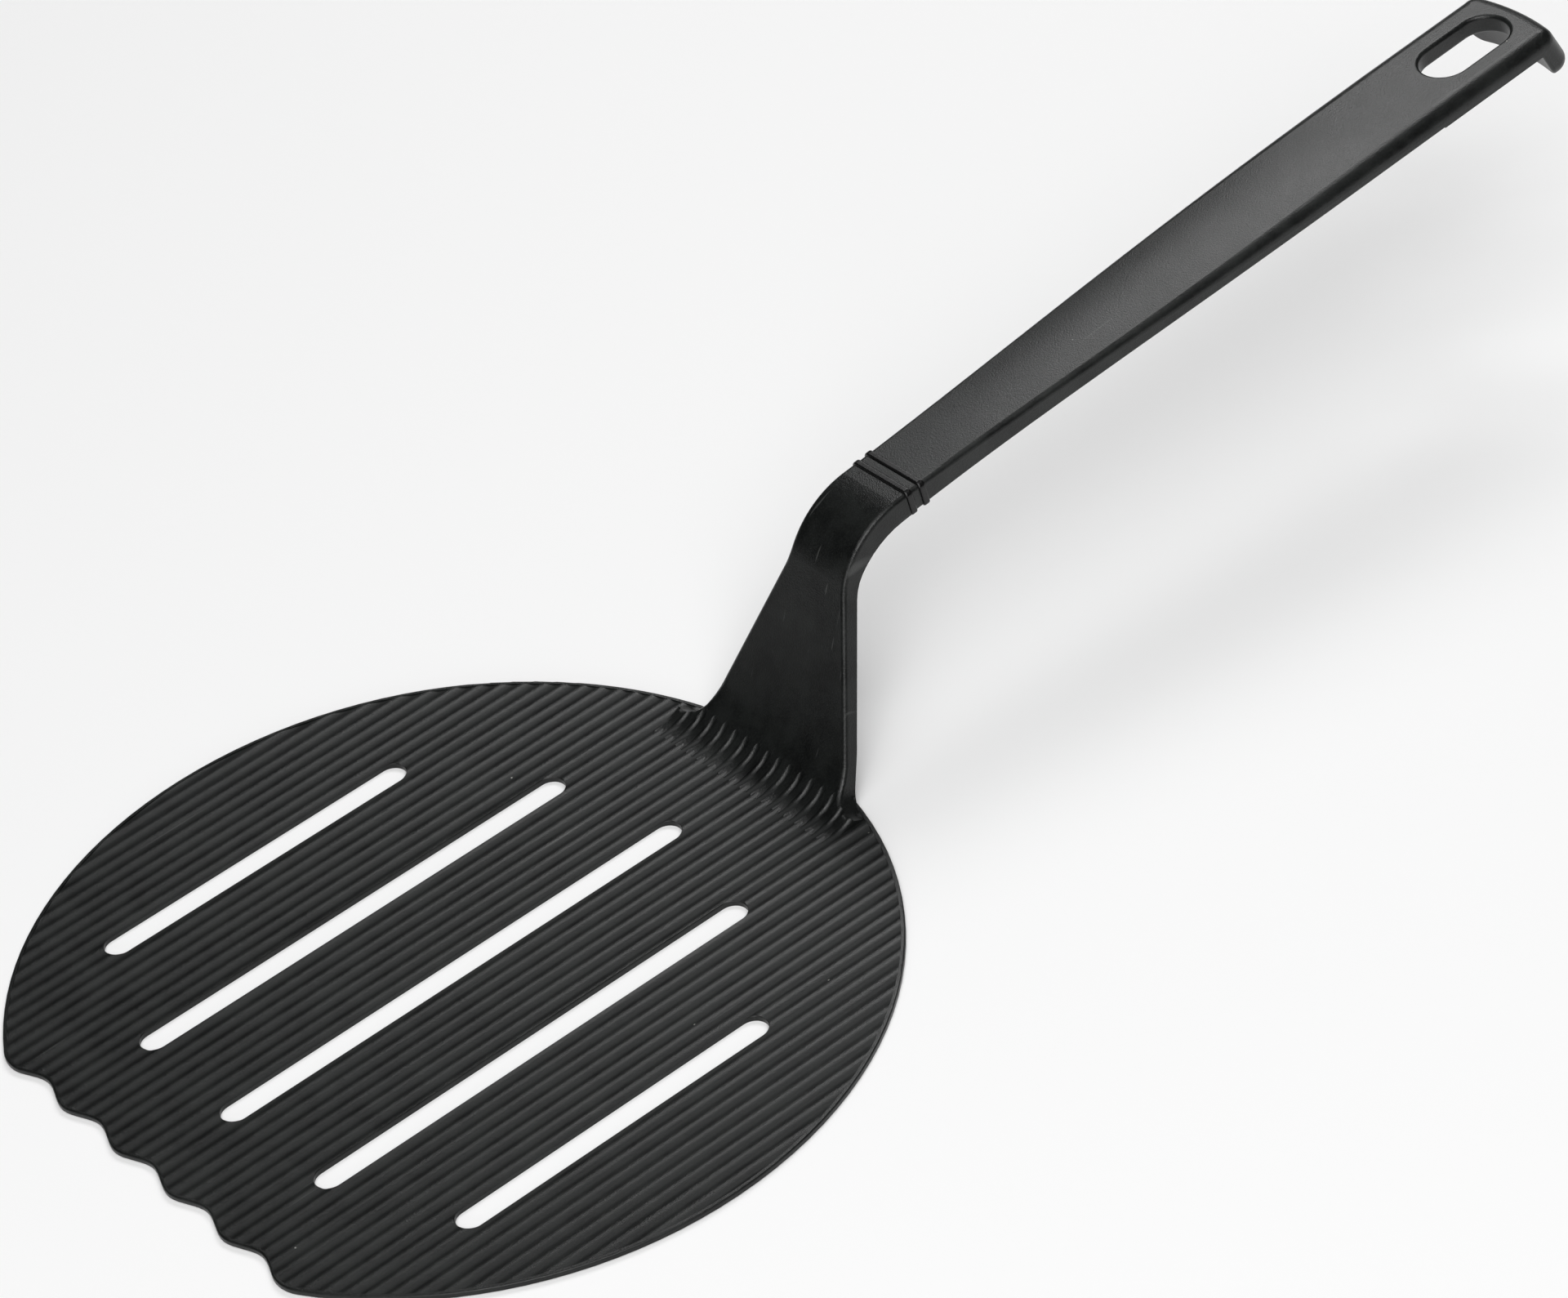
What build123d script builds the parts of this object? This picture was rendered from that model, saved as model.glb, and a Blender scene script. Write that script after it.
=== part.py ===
"""A round slotted grill turner.

+X runs from the blade to the far end of the grip, +Y is to the left and +Z is up.
The origin is on the blade's underside, at the centre of its round outline.
Sizes are in millimetres and angles in degrees.
"""

from build123d import *
import math
import os

# Blade
blade_radius = 86.0  # origin to the rim at flank_start
quarter_inset = 0.8  # how far the rim lies inside that radius at quarter_turn
rear_inset = 2.2  # and at its rearmost point
quarter_turn = 50.0  # where the rear arc meets each side arc, from +X
flank_start = 93.0  # where each side arc meets its flank, from +X
blade_thickness = 1.2
rib_pitch = 3.235
rib_depth = 0.25
rib_sink = 0.03  # the rib crests lie this far below the smooth rim
seat_sink = 0.1  # what stands on the ribs starts this far below their valleys
ridge_share = 0.62  # part of each pitch that is the rounded ridge, the rest is the valley
rim_width = 0.8  # smooth rim round the ribs
rim_round = 0.3
rim_bevel = 0.2
front_reach = 68.6  # origin to the crests of the wavy front edge
wave_pitch = 17.0
wave_depth = 2.35
wave_valleys = 5
corner_radius = 8.1

# Slots: the middle one first, then each pair outwards
slot_width = 5.8
slot_pitch = 27.5
slot_bevel = 0.15
slot_front_reaches = (50.6, 49.4, 38.6)
slot_rear_reaches = (55.3, 48.9, 31.3)

# Neck
neck_inset = 5.3  # rearmost point of the rim to where the neck's face would meet the blade's top
neck_angle = 63.5
neck_thickness = 2.9
neck_draft = 0.8  # the back face leans this much further back than the front one
neck_foot_width = 42.5
neck_taper = 18.7
neck_waist_width = 16.2
root_fillet = 14.0
root_sink = 0.04  # the root fillet starts this far below the rib crests
root_land = 0.3  # level length of the neck in front of the root fillet
foot_inset = 0.17  # how far the neck's foot stays inside the blade's rim
flare_radius = 5.0
waist_radius = 16.0
bend_radius = 19.0
under_bend_radius = 18.0
heel_radius = 0.8
edge_round = 0.9
under_round = 0.4
front_spread = 53.0  # the neck's front faces look within this angle of their middle direction

# Grooves that carry the valleys between the ribs up the root fillet
groove_round = 0.95  # radius of their section
groove_sink = 0.05  # their floors start this far below the valleys
groove_shift = 2.8  # start of the fillet to where the floors begin to rise
groove_radius = 7.0  # less than root_fillet, so that the floors run out of its surface
groove_turn = 68.0  # enough to bring the grooves clear of the surface

# Grip
joint_reach = 35.7  # foot of the neck's face to the joint, along the blade
joint_rise = 45.9  # blade's top to the grip's top face at the joint
grip_rise = 6.75  # slope of the grip where it starts
grip_bow = 2.3  # how much of that slope is lost towards the far end
grip_length = 168.7  # joint to the far end
# These four are at even steps from the joint to the end plate
grip_thicknesses = (4.9, 4.5, 4.3, 4.2, 4.1)
grip_widths = (15.4, 17.5, 20.6, 22.6, 23.2)
grip_edge_rounds = (0.9, 1.2, 1.7, 2.4, 3.0)
grip_crowns = (0.0, 0.5, 0.8, 0.6, 0.0)

# End plate with its hang slot and hook lip
end_length = 32.0
end_arc_radius = 45.0
end_corner_radius = 3.5
hang_slot_length = 21.1
hang_slot_width = 10.6
hang_slot_inset = 4.1  # far end of the slot to the far end of the grip
hang_slot_round = 0.8
lip_drop = 7.7
lip_lean = 22.0
lip_thickness = 5.0
lip_corner_radius = 2.6
lip_round = 0.6

# Cored underside
skin_thickness = 1.9
wall_thickness = 2.0
core_rib = 1.4
core_count = 6
core_corner_radius = 1.5
core_inset = 5.0  # solid length kept beyond the tang's socket

# Tang, socket and pins
tang_length = 46.0
tang_width = 11.0
tang_thickness = 2.0
tang_round = 0.6
tang_clearance = 0.1
pin_radius = 1.5
pin_head_radius = 2.3
pin_head_height = 0.5
pin_cover = 0.8  # thickness of the grip left above each pin
pin_places = (14.0, 34.0)  # from the joint
pin_clearance = 0.02

# Rings
ring_width = 1.5
ring_proud = 0.4
ring_seat = 0.5
ring_pitch = 3.1
ring_round = 0.4
ring_clearance = 0.02  # to the shoulder and the grip, on each side of the front ring

# Derived places
overlap = 1.0  # how far cutting shapes run past what they cut
rear_reach = blade_radius - rear_inset
neck_foot = rear_reach - neck_inset
joint_x = neck_foot + joint_reach
joint_z = blade_thickness + joint_rise
crest_level = blade_thickness - rib_sink
valley_level = crest_level - rib_depth
seat_level = valley_level - seat_sink
root_level = crest_level - root_sink
last_crest = wave_pitch * wave_valleys / 2
bow_length = grip_length - end_length
half_ring = ring_width / 2
joint_gap = half_ring + ring_clearance
joint_thickness = grip_thicknesses[0]
plate_thickness = grip_thicknesses[-1]


def polar(angle, length=1.0):
    """The XZ or XY vector of this length at this angle from +X."""
    return Vector(length * math.cos(math.radians(angle)), length * math.sin(math.radians(angle)))


def grip_slope(distance):
    """The grip's slope at a distance from the joint; the end plate is straight."""
    return grip_rise - grip_bow * min(distance, bow_length) / bow_length


def grip_plane(distance):
    """A cross plane of the grip: X to the left side, Y up and Z towards the far end."""
    curved = min(distance, bow_length)
    chord = curved * math.sin(math.radians(grip_bow * curved / bow_length / 2))
    chord = chord / math.radians(grip_bow * curved / bow_length / 2) if curved else 0.0
    along = polar((grip_rise + grip_slope(curved)) / 2, chord)
    along = along + polar(grip_slope(bow_length), distance - curved)
    heading = polar(grip_slope(distance))
    return Plane(
        origin=(joint_x + along.X, 0, joint_z + along.Y),
        x_dir=(0, 1, 0),
        z_dir=(heading.X, 0, heading.Y),
    )


def at_station(values, distance):
    """A value between the grip's stations, which are evenly spaced along its bow."""
    place = min(max(distance / bow_length, 0.0), 1.0) * (len(values) - 1)
    index = min(int(place), len(values) - 2)
    return values[index] + (values[index + 1] - values[index]) * (place - index)


def pin_plane(distance):
    """Where a pin enters the grip's underside: Z runs up the pin."""
    cross = grip_plane(distance)
    entry = cross.origin - cross.y_dir * at_station(grip_thicknesses, distance)
    return Plane(origin=entry, x_dir=cross.z_dir, z_dir=cross.y_dir)


def pin_length(distance):
    """The length of a pin that stops pin_cover short of the grip's top."""
    return at_station(grip_thicknesses, distance) - pin_cover


def grip_section(distance, grow=0.0):
    """The grip's outline on one of its cross planes, with its crown at the origin."""
    half_width = at_station(grip_widths, distance) / 2 + grow
    crown = at_station(grip_crowns, distance)
    bottom = -at_station(grip_thicknesses, distance) - grow
    left, right = (-half_width, grow - crown), (half_width, grow - crown)
    with BuildSketch() as section:
        with BuildLine():
            Polyline(
                left,
                (-half_width, bottom),
                (half_width, bottom),
                right,
            )
            if crown > 0:
                ThreePointArc(right, (0, grow), left)
            else:
                Line(right, left)
        make_face()
        fillet(section.vertices().group_by(Axis.Y)[0], under_round + max(grow, 0.0))
        edge_rounding = at_station(grip_edge_rounds, distance) + grow
        fillet(section.vertices().group_by(Axis.Y)[-1], edge_rounding)
    return section.sketch_local


def blade_outline(inset=0.0):
    """The round blade with its flanks and wavy front edge, scaled to lie this far inside its rim."""
    wave_middle = front_reach - wave_depth / 2
    wave = [
        (
            -wave_middle - wave_depth / 2 * math.cos(math.pi * step / 2),
            step * wave_pitch / 4 - last_crest,
        )
        for step in range(4 * wave_valleys + 1)
    ]
    crest = Vector(-front_reach, last_crest)
    with BuildSketch() as outline:
        with BuildLine():
            Spline(*wave, tangents=[(0, 1), (0, 1)])
            rear = ThreePointArc(
                polar(-quarter_turn, blade_radius - quarter_inset),
                (rear_reach, 0),
                polar(quarter_turn, blade_radius - quarter_inset),
            )
            side = TangentArc(rear @ 1, polar(flank_start, blade_radius), tangent=rear % 1)
            # The flank is tangent to the side arc, and to the corner's circle where they meet
            inward = (side % 1).rotate(Axis.Z, 90)
            middle = crest + Vector(corner_radius, 0)
            gap = side @ 1 - middle
            flank_radius = (corner_radius**2 - gap.dot(gap)) / (2 * (inward.dot(gap) + corner_radius))
            centre = side @ 1 + inward * flank_radius
            corner = middle + (middle - centre).normalized() * corner_radius
            bend = TangentArc(crest, corner, tangent=(0, 1))
            flank = TangentArc(side @ 1, corner, tangent=side % 1)
            mirror([side, bend, flank], about=Plane.XZ)
        make_face()
        scale(by=1 - inset / blade_radius)
    return outline.sketch_local


def ribbed_section():
    """The blade's cross section, wide enough for its whole round outline."""
    half_valley = rib_pitch * (1 - ridge_share) / 2
    turn_level = valley_level + rib_depth * (1 - ridge_share)
    last = math.ceil(blade_radius / rib_pitch)
    reach = last * rib_pitch + half_valley
    with BuildSketch() as section:
        with BuildLine():
            for index in range(-last, last + 1):
                middle = index * rib_pitch
                ThreePointArc(
                    (middle - half_valley, turn_level),
                    (middle, valley_level),
                    (middle + half_valley, turn_level),
                )
                if index < last:
                    ThreePointArc(
                        (middle + half_valley, turn_level),
                        (middle + rib_pitch / 2, crest_level),
                        (middle + rib_pitch - half_valley, turn_level),
                    )
            Polyline((-reach, turn_level), (-reach, 0), (reach, 0), (reach, turn_level))
        make_face()
    return section.sketch_local


# The neck's face line starts at its foot and leans back; the shoulder line runs into the grip.
face_foot = Vector(neck_foot, blade_thickness)
face_way = polar(neck_angle)
shoulder_plane = grip_plane(-joint_gap)
shoulder_way = Vector(shoulder_plane.z_dir.X, shoulder_plane.z_dir.Z)
shoulder_top = Vector(shoulder_plane.origin.X, shoulder_plane.origin.Z)
shoulder_bottom = shoulder_top - Vector(-shoulder_way.Y, shoulder_way.X) * joint_thickness
back_way = polar(neck_angle - neck_draft)
back_foot = face_foot - face_way * ((blade_thickness - rim_bevel) / face_way.Y)
back_foot = back_foot + Vector(neck_thickness / face_way.Y, 0)


def crossing(point, way, other_point, other_way):
    """Where two lines of the XZ plane cross."""
    gap = other_point - point
    turn = way.X * other_way.Y - way.Y * other_way.X
    return point + way * ((gap.X * other_way.Y - gap.Y * other_way.X) / turn)


root_corner = face_foot - face_way * ((blade_thickness - root_level) / face_way.Y)
root_start = root_corner - Vector(root_fillet * math.tan(math.radians(neck_angle / 2)), 0)
bend_corner = crossing(face_foot, face_way, shoulder_top, shoulder_way)
under_corner = crossing(back_foot, back_way, shoulder_bottom, shoulder_way)

# The face plane lies on the neck's front: X to the left side, Y up the face.
face_plane = Plane(
    origin=(face_foot.X, 0, face_foot.Y),
    x_dir=(0, -1, 0),
    z_dir=(-face_way.Y, 0, face_way.X),
)
waist_height = (neck_foot_width - neck_waist_width) / 2 / math.tan(math.radians(neck_taper))
shoulder_height = (shoulder_top - face_foot).dot(face_way)


def is_front(face):
    """Whether a face belongs to the neck's front, which turns from up to the face's way."""
    middle = polar(90 + neck_angle / 2)
    share = face.normal_at().dot(Vector(middle.X, 0, middle.Y))
    return share > math.cos(math.radians(front_spread))


# The valleys between the ribs run on up the root fillet as round grooves
groove_level = valley_level - groove_sink
groove_start = root_start.X - overlap
groove_bend = root_start.X + groove_shift
groove_count = int((neck_foot_width / 2 + flare_radius) / rib_pitch)

with BuildPart() as grooves:
    for groove in range(-groove_count, groove_count + 1):
        with BuildSketch(Plane.YZ.offset(groove_bend)) as groove_section:
            with Locations((groove * rib_pitch, groove_level + groove_round)):
                Circle(groove_round)
        extrude(amount=groove_start - groove_bend)
        revolve(
            groove_section.sketch,
            axis=Axis((groove_bend, 0, groove_level + groove_radius), (0, -1, 0)),
            revolution_arc=groove_turn,
        )

with BuildPart() as neck:
    with BuildSketch(Plane.XZ) as neck_side:
        with BuildLine() as neck_line:
            front = FilletPolyline(
                (root_start.X - root_land, root_level),
                (root_corner.X, root_level),
                (bend_corner.X, bend_corner.Y),
                (shoulder_top.X, shoulder_top.Y),
                radius=(root_fillet, bend_radius),
            )
            under = FilletPolyline(
                (shoulder_bottom.X, shoulder_bottom.Y),
                (under_corner.X, under_corner.Y),
                (back_foot.X, rim_bevel),
                radius=under_bend_radius,
            )
            Line(front @ 1, under @ 0)
            Polyline(
                under @ 1,
                (back_foot.X, -edge_round),
                (root_start.X - root_land, -edge_round),
                front @ 0,
            )
        make_face()
    extrude(amount=neck_foot_width, both=True)
    with BuildSketch(face_plane) as neck_front:
        with BuildLine() as neck_outline:
            half_foot = neck_foot_width / 2
            half_waist = neck_waist_width / 2
            half_joint = grip_widths[0] / 2
            side = FilletPolyline(
                (half_foot + flare_radius, 0),
                (half_foot, 0),
                (half_waist, waist_height),
                (half_joint, shoulder_height + overlap),
                radius=(flare_radius, waist_radius),
            )
            mirror(side, about=Plane.YZ)
            Line(side @ 1, (-half_joint, shoulder_height + overlap))
            Polyline(
                side @ 0,
                (half_foot + flare_radius, -neck_foot_width),
                (-half_foot - flare_radius, -neck_foot_width),
                (-half_foot - flare_radius, 0),
            )
        make_face()
    extrude(amount=neck_foot, both=True, mode=Mode.INTERSECT)
    front_edges = neck.faces().filter_by(is_front).edges().filter_by(Axis.Y, reverse=True)
    fillet(front_edges, edge_round)
    split(bisect_by=Plane.XY.offset(rim_bevel))

    # Trim the foot at the rim: upright through the blade, then leaning like the neck's back
    for level, way, reach in (
        (0, Vector(0, 0, 1), blade_thickness),
        (blade_thickness, Vector(back_way.X, 0, back_way.Y), waist_height / 2),
    ):
        with BuildSketch(Plane.XY.offset(level)) as outside_rim:
            Rectangle(4 * blade_radius, 4 * blade_radius)
            add(blade_outline(foot_inset), mode=Mode.SUBTRACT)
        extrude(amount=reach, dir=way, mode=Mode.SUBTRACT)

    add(grooves.part, mode=Mode.SUBTRACT)


# A small fillet where the neck's back stands on the rim, kept inside the blade's outline
heel_corner = back_foot + back_way * ((blade_thickness - rim_bevel) / back_way.Y)
heel_reach = heel_radius / math.tan(math.radians(neck_angle - neck_draft) / 2)
heel_top = heel_corner + back_way * heel_reach

with BuildPart() as heel:
    with BuildSketch(Plane.XZ) as heel_side:
        with BuildLine() as heel_line:
            curve = TangentArc(
                (heel_corner.X + heel_reach, blade_thickness),
                (heel_top.X, heel_top.Y),
                tangent=(-1, 0),
            )
            Polyline(
                curve @ 1,
                (heel_corner.X - overlap, heel_top.Y),
                (heel_corner.X - overlap, seat_level),
                (rear_reach + overlap, seat_level),
                (rear_reach + overlap, blade_thickness),
                curve @ 0,
            )
        make_face()
    extrude(amount=neck_foot_width / 2, both=True)
    with BuildSketch() as heel_limit:
        add(blade_outline(foot_inset))
    extrude(amount=heel_top.Y + overlap, mode=Mode.INTERSECT)

# What is cut away between and above the ribs, inside the smooth rim
with BuildPart() as rib_cut:
    with BuildSketch(Plane.XY.offset(seat_level)) as rib_field:
        add(blade_outline(rim_width))
    extrude(amount=rib_depth + overlap)
    with BuildSketch(Plane.YZ.offset(-front_reach - overlap)) as ribbed_profile:
        add(ribbed_section())
    extrude(amount=front_reach + rear_reach + 2 * overlap, mode=Mode.SUBTRACT)

with BuildPart() as blade_head:
    with BuildSketch() as blade_plan:
        add(blade_outline())
    extrude(amount=blade_thickness)
    chamfer(faces().sort_by(Axis.Z)[0].edges(), rim_bevel)
    fillet(faces().sort_by(Axis.Z)[-1].edges(), rim_round)
    add(rib_cut.part, mode=Mode.SUBTRACT)

    # Slots with bevelled upper edges
    for row, (front_end, rear_end) in enumerate(zip(slot_front_reaches, slot_rear_reaches)):
        for side_sign in (-1, 1) if row else (1,):
            slot_middle = ((rear_end - front_end) / 2, side_sign * row * slot_pitch)
            with BuildSketch() as slot:
                with Locations(slot_middle):
                    SlotOverall(front_end + rear_end, slot_width)
            extrude(amount=blade_thickness, mode=Mode.SUBTRACT)
            with BuildSketch(Plane.XY.offset(crest_level - slot_bevel)) as slot_mouth:
                add(slot.sketch_local)
            extrude(amount=rib_depth, taper=-45, mode=Mode.SUBTRACT)
    add(neck.part)
    add(heel.part)

    # Tang with its pin holes
    with BuildSketch(shoulder_plane) as tang_section:
        with Locations((0, -joint_thickness / 2)):
            RectangleRounded(tang_width, tang_thickness, tang_round)
    extrude(amount=joint_gap + tang_length)
    for place in pin_places:
        with Locations(pin_plane(place)):
            Cylinder(pin_radius + pin_clearance, 2 * joint_thickness, mode=Mode.SUBTRACT)

blade_head.part.label = "blade_head"

# The end plate lies on the grip's top face where the bow ends: X runs to the far end
bow_end = grip_plane(bow_length)
plate_plane = Plane(origin=bow_end.origin, x_dir=bow_end.z_dir, z_dir=bow_end.y_dir)
plate_along = Axis(plate_plane.origin, plate_plane.x_dir)
plate_up = Axis(plate_plane.origin, plate_plane.z_dir)
half_plate = grip_widths[-1] / 2
corner_reach = end_length - end_arc_radius + math.sqrt(end_arc_radius**2 - half_plate**2)


def plate_outline():
    """The end plate from above, with its curved far end and rounded corners."""
    with BuildSketch() as outline:
        with BuildLine():
            Polyline(
                (corner_reach, half_plate),
                (0, half_plate),
                (0, -half_plate),
                (corner_reach, -half_plate),
            )
            ThreePointArc((corner_reach, -half_plate), (end_length, 0), (corner_reach, half_plate))
        make_face()
        fillet(outline.vertices().group_by(Axis.X)[-1], end_corner_radius)
    return outline.sketch_local


lip_way = plate_plane.x_dir * math.sin(math.radians(lip_lean))
lip_way = lip_way - plate_plane.z_dir * math.cos(math.radians(lip_lean))

with BuildPart() as end_plate:
    with BuildSketch(plate_plane) as plate_plan:
        add(plate_outline())
    extrude(amount=-plate_thickness)
    with BuildSketch(plate_plane) as lip_plan:
        add(plate_outline())
        with Locations((end_length - end_arc_radius, 0)):
            Circle(end_arc_radius - lip_thickness, mode=Mode.SUBTRACT)
    extrude(amount=plate_thickness + lip_drop, dir=lip_way)
    lip_bottom = faces().sort_by(plate_up)[0]
    side_edges = lip_bottom.edges().sort_by(Axis.Y)
    fillet([side_edges[0], side_edges[-1]], lip_corner_radius)
    fillet(faces().sort_by(plate_up)[0].edges(), lip_round)
    plate_top = faces().sort_by(plate_up)[-1]
    joint_edge = plate_top.edges().sort_by(plate_along)[0]
    fillet([edge for edge in plate_top.edges() if edge != joint_edge], grip_edge_rounds[-1])

with BuildPart() as grip:
    with BuildSketch(grip_plane(joint_gap)) as first_section:
        add(grip_section(joint_gap))
    for station in range(1, len(grip_widths)):
        distance = bow_length * station / (len(grip_widths) - 1)
        with BuildSketch(grip_plane(distance)) as next_section:
            add(grip_section(distance))
    loft()
    add(end_plate.part)

    # Hang slot with a rounded rim
    with BuildSketch(plate_plane) as hang_slot:
        with Locations((end_length - hang_slot_inset - hang_slot_length / 2, 0)):
            SlotOverall(hang_slot_length, hang_slot_width)
    extrude(amount=-plate_thickness, mode=Mode.SUBTRACT)
    rims = edges(Select.LAST).filter_by(
        lambda edge: abs((edge @ 0 - edge @ 1).dot(plate_plane.z_dir)) < plate_thickness / 2
    )
    fillet(rims, hang_slot_round)

    # Groove of the rear ring
    with BuildSketch(grip_plane(ring_pitch - half_ring)) as rear_groove:
        Rectangle(2 * grip_widths[0], 4 * joint_thickness)
        add(grip_section(ring_pitch, -ring_seat), mode=Mode.SUBTRACT)
    extrude(amount=ring_width, mode=Mode.SUBTRACT)

    # Socket of the tang
    with BuildSketch(shoulder_plane) as socket:
        with Locations((0, -joint_thickness / 2)):
            RectangleRounded(
                tang_width + 2 * tang_clearance,
                tang_thickness + 2 * tang_clearance,
                tang_round + tang_clearance,
            )
    extrude(amount=joint_gap + tang_length + tang_clearance, mode=Mode.SUBTRACT)

    # Cores of the underside, between cross ribs
    core_start = tang_length + core_inset
    core_step = (bow_length - core_start + core_rib) / core_count
    for core in range(core_count):
        near = core_start + core * core_step
        far = near + core_step - core_rib
        near_half = at_station(grip_widths, near) / 2 - wall_thickness
        far_half = at_station(grip_widths, far) / 2 - wall_thickness
        cross = grip_plane(near)
        core_plane = Plane(origin=cross.origin, x_dir=cross.z_dir, z_dir=-cross.y_dir)
        with BuildSketch(core_plane.offset(skin_thickness)) as core_plan:
            with BuildLine() as core_outline:
                Polyline(
                    (0, near_half),
                    (far - near, far_half),
                    (far - near, -far_half),
                    (0, -near_half),
                    close=True,
                )
            make_face()
            fillet(core_plan.vertices(), core_corner_radius)
        extrude(amount=joint_thickness, mode=Mode.SUBTRACT)

    # Stepped pin holes from the underside
    for place in pin_places:
        with Locations(pin_plane(place)):
            Cylinder(
                pin_radius + pin_clearance,
                pin_length(place),
                align=(Align.CENTER, Align.CENTER, Align.MIN),
                mode=Mode.SUBTRACT,
            )
            Cylinder(
                pin_head_radius + pin_clearance,
                pin_head_height,
                align=(Align.CENTER, Align.CENTER, Align.MIN),
                mode=Mode.SUBTRACT,
            )

grip.part.label = "grip"

# The front ring fills the gap between shoulder and grip, round the tang
front_plane = grip_plane(-half_ring)
with BuildPart() as front_ring:
    with BuildSketch(front_plane) as front_ring_section:
        add(grip_section(0, ring_proud))
        with Locations((0, -joint_thickness / 2)):
            RectangleRounded(
                tang_width + 2 * tang_clearance,
                tang_thickness + 2 * tang_clearance,
                tang_round + tang_clearance,
                mode=Mode.SUBTRACT,
            )
    extrude(amount=ring_width)
    ring_ends = faces().sort_by(Axis(front_plane.origin, front_plane.z_dir))
    fillet(ring_ends[0].outer_wire().edges() + ring_ends[-1].outer_wire().edges(), ring_round)
front_ring.part.label = "front_ring"

# The rear ring sits in its groove round the grip
rear_plane = grip_plane(ring_pitch - half_ring)
with BuildPart() as rear_ring:
    with BuildSketch(rear_plane) as rear_ring_section:
        add(grip_section(ring_pitch, ring_proud))
        add(grip_section(ring_pitch, -ring_seat), mode=Mode.SUBTRACT)
    extrude(amount=ring_width)
    ring_ends = faces().sort_by(Axis(rear_plane.origin, rear_plane.z_dir))
    fillet(ring_ends[0].outer_wire().edges() + ring_ends[-1].outer_wire().edges(), ring_round)
rear_ring.part.label = "rear_ring"

# Headed pins, flush with the underside
pins = {}
for name, place in zip(("front_pin", "rear_pin"), pin_places):
    with BuildPart(pin_plane(place)) as pin:
        Cylinder(pin_radius, pin_length(place), align=(Align.CENTER, Align.CENTER, Align.MIN))
        Cylinder(pin_head_radius, pin_head_height, align=(Align.CENTER, Align.CENTER, Align.MIN))
    pin.part.label = name
    pins[name] = pin.part

os.makedirs("parts", exist_ok=True)
export_step(blade_head.part, "parts/blade_head.step")
export_step(grip.part, "parts/grip.step")
export_step(front_ring.part, "parts/front_ring.step")
export_step(rear_ring.part, "parts/rear_ring.step")
for name, pin_part in pins.items():
    export_step(pin_part, f"parts/{name}.step")
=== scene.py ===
"""Looks of the grill spatula: black moulded nylon on a pale studio floor."""

import math

import bpy
from mathutils import Matrix, Vector

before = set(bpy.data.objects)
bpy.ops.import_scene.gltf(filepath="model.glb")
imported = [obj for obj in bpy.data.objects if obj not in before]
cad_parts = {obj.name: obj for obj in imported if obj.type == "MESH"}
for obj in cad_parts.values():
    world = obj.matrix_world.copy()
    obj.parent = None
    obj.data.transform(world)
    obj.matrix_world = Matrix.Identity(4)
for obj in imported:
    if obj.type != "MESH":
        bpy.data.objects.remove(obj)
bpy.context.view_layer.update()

MM = 0.001
CREST_HEIGHT = 1.17 * MM  # of the blade's ribs
VALLEY_HEIGHT = 0.92 * MM  # of the floors between the ribs


def clear_selection():
    """Deselects everything, so that an operator works only on what it makes."""
    bpy.ops.object.select_all(action="DESELECT")


# ---------------------------------------------------------------- Materials

SCUFF_COLOUR = "#4a4b4a"
DUST_COLOUR = "#a9a9a4"

# Sockets of the Mix node, which has several of the same name
FLOAT_A, FLOAT_B, FLOAT_RESULT = 2, 3, 0
COLOUR_A, COLOUR_B, COLOUR_RESULT = 6, 7, 2


def linear(code):
    """The linear colour of an sRGB hex code."""
    parts = [int(code[i : i + 2], 16) / 255 for i in (1, 3, 5)]
    return tuple(((c + 0.055) / 1.055) ** 2.4 if c > 0.04045 else c / 12.92 for c in parts) + (1.0,)


def add_node(tree, kind, at, **values):
    """Adds a node of this kind, placed at a grid place, and sets its properties and inputs."""
    node = tree.nodes.new(kind)
    node.location = (at[0] * 200, at[1] * 200)
    for key, value in values.items():
        if key in node.inputs:
            node.inputs[key].default_value = value
        else:
            setattr(node, key, value)
    return node


def ramp(tree, at, source, start, end, low=0.0, high=1.0, shape="LINEAR"):
    """Maps a source from start..end to low..high, level beyond both."""
    node = add_node(tree, "ShaderNodeMapRange", at, interpolation_type=shape)
    spans = {"From Min": start, "From Max": end, "To Min": low, "To Max": high}
    for key, value in spans.items():
        node.inputs[key].default_value = value
    tree.links.new(source, node.inputs["Value"])
    return node.outputs["Result"]


def maths(tree, at, operation, *terms):
    """The result of a Math node, whose terms are numbers or other nodes' outputs."""
    node = add_node(tree, "ShaderNodeMath", at, operation=operation)
    for socket, term in zip(node.inputs, terms):
        if isinstance(term, (int, float)):
            socket.default_value = term
        else:
            tree.links.new(term, socket)
    return node.outputs["Value"]


def noise(tree, at, coords, **values):
    """The height of a noise texture on these coordinates."""
    node = add_node(tree, "ShaderNodeTexNoise", at, **values)
    tree.links.new(coords, node.inputs["Vector"])
    return node.outputs["Fac"]


def cells(tree, at, coords, size):
    """A Voronoi texture on these coordinates, with cells about this size in mm."""
    node = add_node(tree, "ShaderNodeTexVoronoi", at, Scale=1 / (size * MM))
    tree.links.new(coords, node.inputs["Vector"])
    return node


def blend(tree, at, base, code, amount):
    """Blends a hex colour into a base colour, by an amount from another node."""
    node = add_node(tree, "ShaderNodeMix", at, data_type="RGBA")
    tree.links.new(amount, node.inputs["Factor"])
    tree.links.new(base, node.inputs[COLOUR_A])
    node.inputs[COLOUR_B].default_value = linear(code)
    return node.outputs[COLOUR_RESULT]


def cloudy_patches(tree, coords):
    """Where the mould is more worn: 7 mm clouds, broken up into smaller ones."""
    clouds = noise(tree, (-1, 3), coords, Scale=1 / (7 * MM), Detail=5.0, Roughness=0.62)
    return ramp(tree, (0, 3), clouds, start=0.35, end=0.7)


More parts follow.
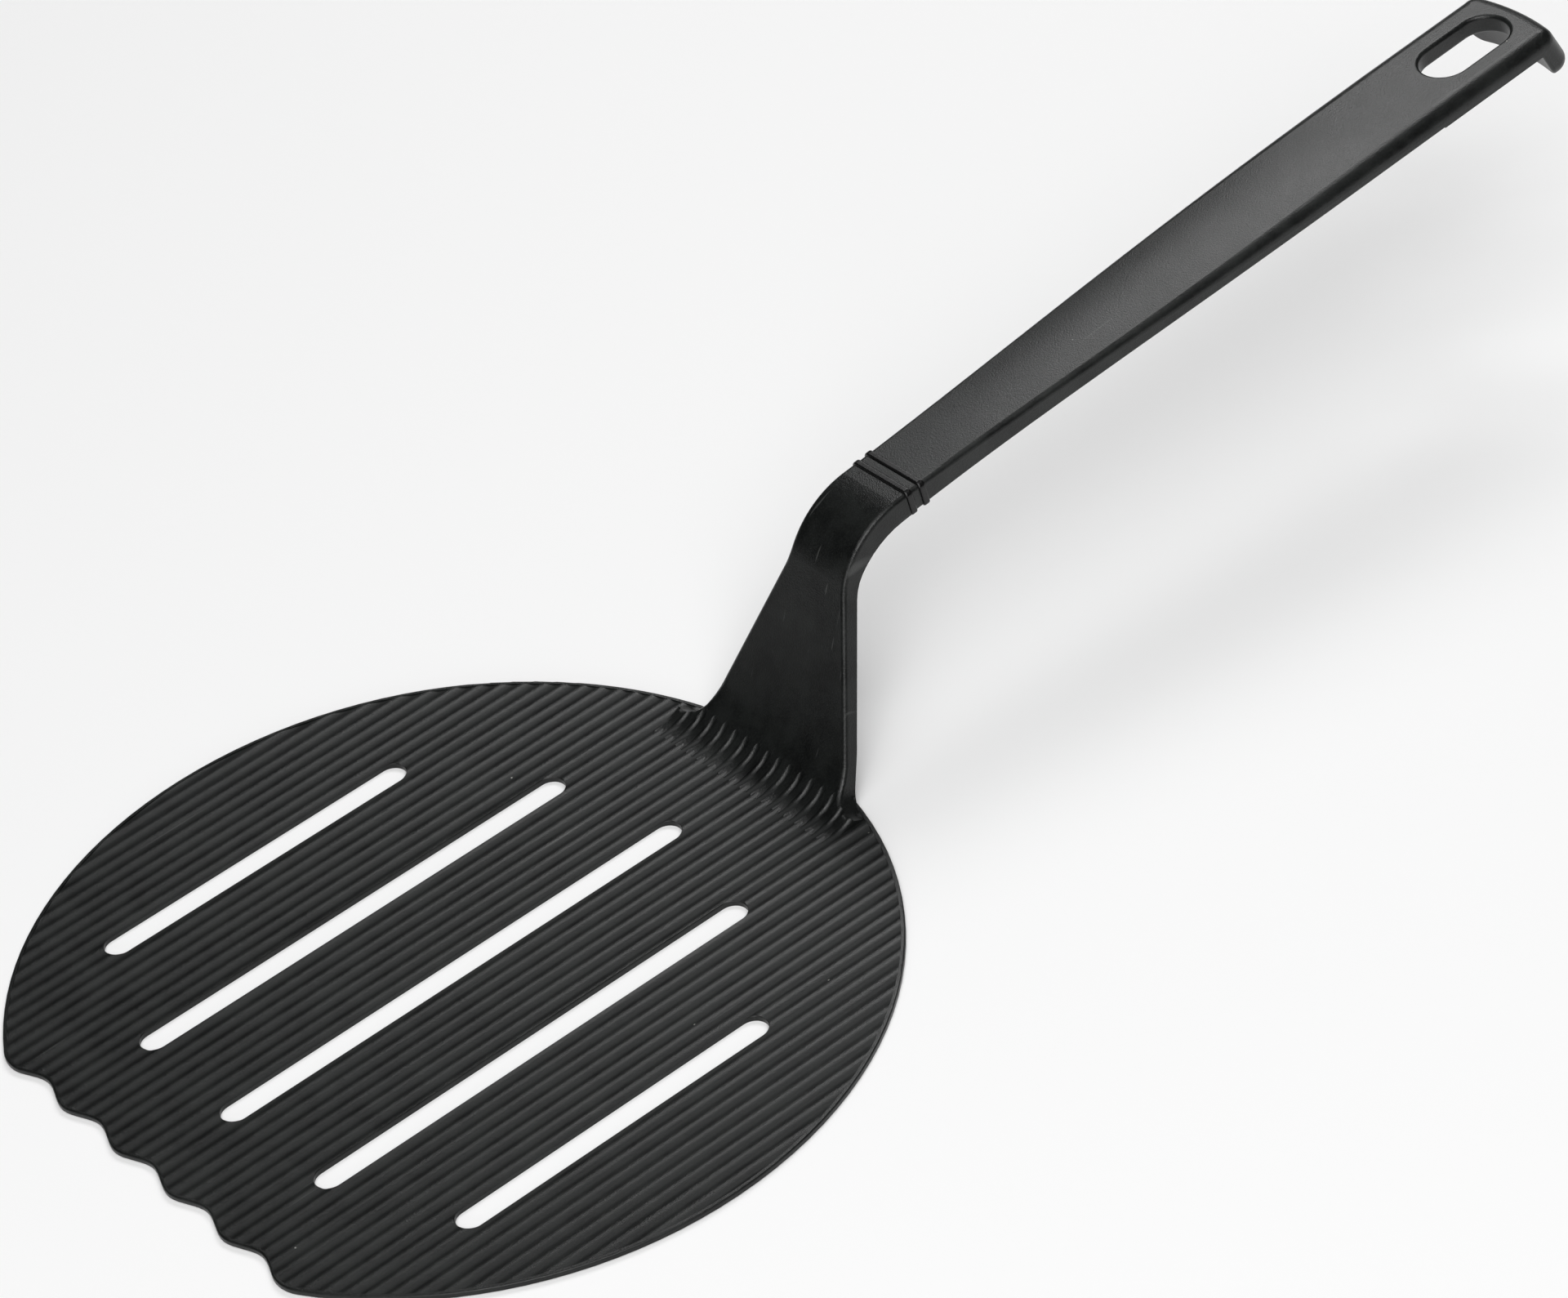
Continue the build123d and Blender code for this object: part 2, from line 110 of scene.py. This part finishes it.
def pebbled_grain(tree, coords, size):
    """A spark-eroded mould's grain in two sizes, and the coarser one alone; size in mm."""
    coarse = noise(tree, (-1, -1), coords, Scale=1 / (size * MM), Detail=2.0)
    fine = cells(tree, (-1, -2), coords, size * 0.6)
    both = add_node(tree, "ShaderNodeMix", (1, -1), data_type="FLOAT", Factor=0.4)
    tree.links.new(coarse, both.inputs[FLOAT_A])
    tree.links.new(fine.outputs["Distance"], both.inputs[FLOAT_B])
    return both.outputs[FLOAT_RESULT], coarse


def hairline_scuffs(tree, coords):
    """Long thin streaks from handling, kept only in places."""
    stretch = add_node(tree, "ShaderNodeMapping", (-2, 5))
    stretch.inputs["Rotation"].default_value = (0, 0, math.radians(28))
    stretch.inputs["Scale"].default_value = (1 / (40 * MM), 1 / (0.9 * MM), 1 / (6 * MM))
    tree.links.new(coords, stretch.inputs["Vector"])
    streaks = noise(tree, (-1, 5), stretch.outputs["Vector"], Scale=1.0, Detail=1.0)
    return ramp(tree, (0, 5), streaks, start=0.74, end=0.8, high=0.5)


def dust_specks(tree, coords, spacing):
    """Specks of dust 0.3 mm across, in some cells of a loose pattern; spacing in mm."""
    pattern = cells(tree, (-1, 7), coords, spacing)
    spot = ramp(tree, (0, 7), pattern.outputs["Distance"], start=0.22 / spacing, end=0.08 / spacing)
    chosen = maths(tree, (1, 8), "GREATER_THAN", pattern.outputs["Color"], 0.55)
    return maths(tree, (2, 7), "MULTIPLY", spot, chosen)


def rib_valleys(tree, coords):
    """From the ribs' crests down to the floors between them, without the blade's underside."""
    place = add_node(tree, "ShaderNodeSeparateXYZ", (-1, -4))
    tree.links.new(coords, place.inputs["Vector"])
    height = place.outputs["Z"]
    sunk = ramp(tree, (0, -4), height, start=CREST_HEIGHT, end=VALLEY_HEIGHT, shape="SMOOTHSTEP")
    on_top = maths(tree, (0, -5), "GREATER_THAN", height, VALLEY_HEIGHT - 0.1 * MM)
    return maths(tree, (1, -4), "MULTIPLY", sunk, on_top)


def black_nylon(
    name, colour, worn_and_glint_colour, roughness, gloss, grain_size, grain_depth, dust_spacing, ribbed=False
):
    """Black nylon from a spark-eroded mould, in hex colours and mm.

    It has a pebbled grain, cloudy patches where the mould is more worn, painted glints that
    draw the grain's tops lighter, hairline scuffs from handling and a few specks of dust. The
    grain is drawn coarser than the real one, which is about 0.1 mm and too fine to show. On a
    ribbed piece the valleys between the ribs keep the mould's dull black, while the crests are
    rubbed shinier.
    """
    material = bpy.data.materials.new(name)
    material.use_nodes = True
    tree = material.node_tree
    tree.nodes.clear()
    link = tree.links.new
    out = add_node(tree, "ShaderNodeOutputMaterial", (9, 0))
    shader = add_node(tree, "ShaderNodeBsdfPrincipled", (8, 0), IOR=1.5)
    shader.inputs["Specular IOR Level"].default_value = gloss
    link(shader.outputs["BSDF"], out.inputs["Surface"])
    coords = add_node(tree, "ShaderNodeTexCoord", (-3, 0)).outputs["Object"]

    patches = cloudy_patches(tree, coords)
    grain, coarse_grain = pebbled_grain(tree, coords, grain_size)
    bump = add_node(tree, "ShaderNodeBump", (6, -1), Strength=1.0, Distance=grain_depth * MM)
    link(grain, bump.inputs["Height"])
    link(bump.outputs["Normal"], shader.inputs["Normal"])

    # Colour: cloudy, and lighter on the grain's tops as painted glints, then the scuffs and the dust
    painted_glints = ramp(tree, (2, 1), coarse_grain, start=0.45, end=0.75)
    # The lighter colour comes in where the mould is worn and as painted glints on the grain's tops
    wear_and_glints = maths(tree, (3, 2), "MULTIPLY_ADD", painted_glints, 0.6, patches)
    nylon = add_node(tree, "ShaderNodeMix", (4, 1), data_type="RGBA")
    nylon.inputs[COLOUR_A].default_value = linear(colour)
    nylon.inputs[COLOUR_B].default_value = linear(worn_and_glint_colour)
    link(wear_and_glints, nylon.inputs["Factor"])
    scuffed = blend(
        tree, (5, 1), nylon.outputs[COLOUR_RESULT], SCUFF_COLOUR, hairline_scuffs(tree, coords)
    )
    dusty = blend(tree, (6, 1), scuffed, DUST_COLOUR, dust_specks(tree, coords, dust_spacing))
    link(dusty, shader.inputs["Base Color"])

    # Roughness: duller in the cloudy patches, on the grain's tops and in the ribs' valleys
    dullness = ramp(
        tree, (6, 0), wear_and_glints, start=0.0, end=1.6, low=roughness - 0.01, high=roughness + 0.07
    )
    if ribbed:
        dullness = maths(tree, (7, -1), "MULTIPLY_ADD", rib_valleys(tree, coords), 0.25, dullness)
    link(dullness, shader.inputs["Roughness"])
    return material


# The same black nylon all over, in each moulding's own finish
blade_nylon = black_nylon(
    "blade_nylon", "#040505", "#181a19", 0.3, 0.35, 0.36, 0.05, dust_spacing=9, ribbed=True
)
grip_nylon = black_nylon(
    "grip_nylon", "#060707", "#1b1d1c", 0.33, 0.4, 0.38, 0.05, dust_spacing=6
)
ring_plastic = black_nylon(
    "ring_plastic", "#070707", "#0d0d0d", 0.25, 0.4, 0.3, 0.004, dust_spacing=20
)
pin_plastic = black_nylon(
    "pin_plastic", "#0c0d0d", "#161717", 0.34, 0.5, 0.3, 0.006, dust_spacing=20
)
finishes = {
    "blade_head": blade_nylon,
    "grip": grip_nylon,
    "front_ring": ring_plastic,
    "rear_ring": ring_plastic,
    "front_pin": pin_plastic,
    "rear_pin": pin_plastic,
}
for node_name, finish in finishes.items():
    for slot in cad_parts[node_name].material_slots:
        slot.material = finish

# ---------------------------------------------------------------- Studio

clear_selection()
bpy.ops.mesh.primitive_plane_add(size=6.0, location=(0, 0, 0))
floor = bpy.context.active_object
floor.name = "floor"
paint = bpy.data.materials.new("pale_floor")
paint.use_nodes = True
matt_paint = paint.node_tree.nodes["Principled BSDF"]
matt_paint.inputs["Base Color"].default_value = (0.95, 0.95, 0.95, 1)
matt_paint.inputs["Roughness"].default_value = 0.9
matt_paint.inputs["Specular IOR Level"].default_value = 0.1
floor.data.materials.append(paint)


def soft_light(name, place, target, size, brightness):
    """A soft rectangular light at a place, turned to a target; brightness is its face's own."""
    data = bpy.data.lights.new(name, "AREA")
    data.shape = "RECTANGLE"
    data.size, data.size_y = size
    data.energy = brightness * math.pi * size[0] * size[1]
    light = bpy.data.objects.new(name, data)
    light.location = place
    light.rotation_euler = (Vector(target) - Vector(place)).to_track_quat("-Z", "Y").to_euler()
    bpy.context.scene.collection.objects.link(light)


# Places, targets and sizes in metres
soft_light("ceiling_light", (-0.4, -0.5, 1.6), (0.0, 0, 0), (1.8, 1.6), brightness=1.6)
soft_light("fill_light", (-0.7, -1.3, 1.5), (0.05, 0, 0), (1.4, 1.2), brightness=4.2)
soft_light("side_light", (-1.4, -1.2, 0.35), (0.08, 0, 0.03), (0.8, 0.5), brightness=5.6)
soft_light("grip_light", (0.86, 0.58, 0.98), (0.15, 0, 0.05), (0.8, 0.5), brightness=5.6)
world = bpy.data.worlds.new("studio")
world.use_nodes = True
world.node_tree.nodes["Background"].inputs["Color"].default_value = (1.0, 1.0, 1.0, 1.0)
world.node_tree.nodes["Background"].inputs["Strength"].default_value = 0.06
bpy.context.scene.world = world
bpy.context.scene.view_settings.view_transform = "Standard"

# Camera: looks down at the part from the right of its front, turned a little about its own axis
azimuth, elevation, roll = math.radians(32.73), math.radians(37.43), math.radians(-11.15)
away = Vector(
    (
        -math.sin(azimuth) * math.cos(elevation),
        -math.cos(azimuth) * math.cos(elevation),
        math.sin(elevation),
    )
)
across = Vector((0, 0, 1)).cross(away).normalized()
upward = away.cross(across)
right = across * math.cos(roll) + upward * math.sin(roll)
up = upward * math.cos(roll) - across * math.sin(roll)
camera_place = (right * 61.614 + up * 60.159 + away * 1092.52) * MM
camera_data = bpy.data.cameras.new("camera")
camera_data.sensor_width = 36.0
camera_data.lens = 137.55
camera_data.clip_end = 20.0
camera = bpy.data.objects.new("camera", camera_data)
camera.matrix_world = Matrix.Translation(camera_place) @ Matrix((right, up, away)).transposed().to_4x4()
bpy.context.scene.collection.objects.link(camera)
bpy.context.scene.camera = camera
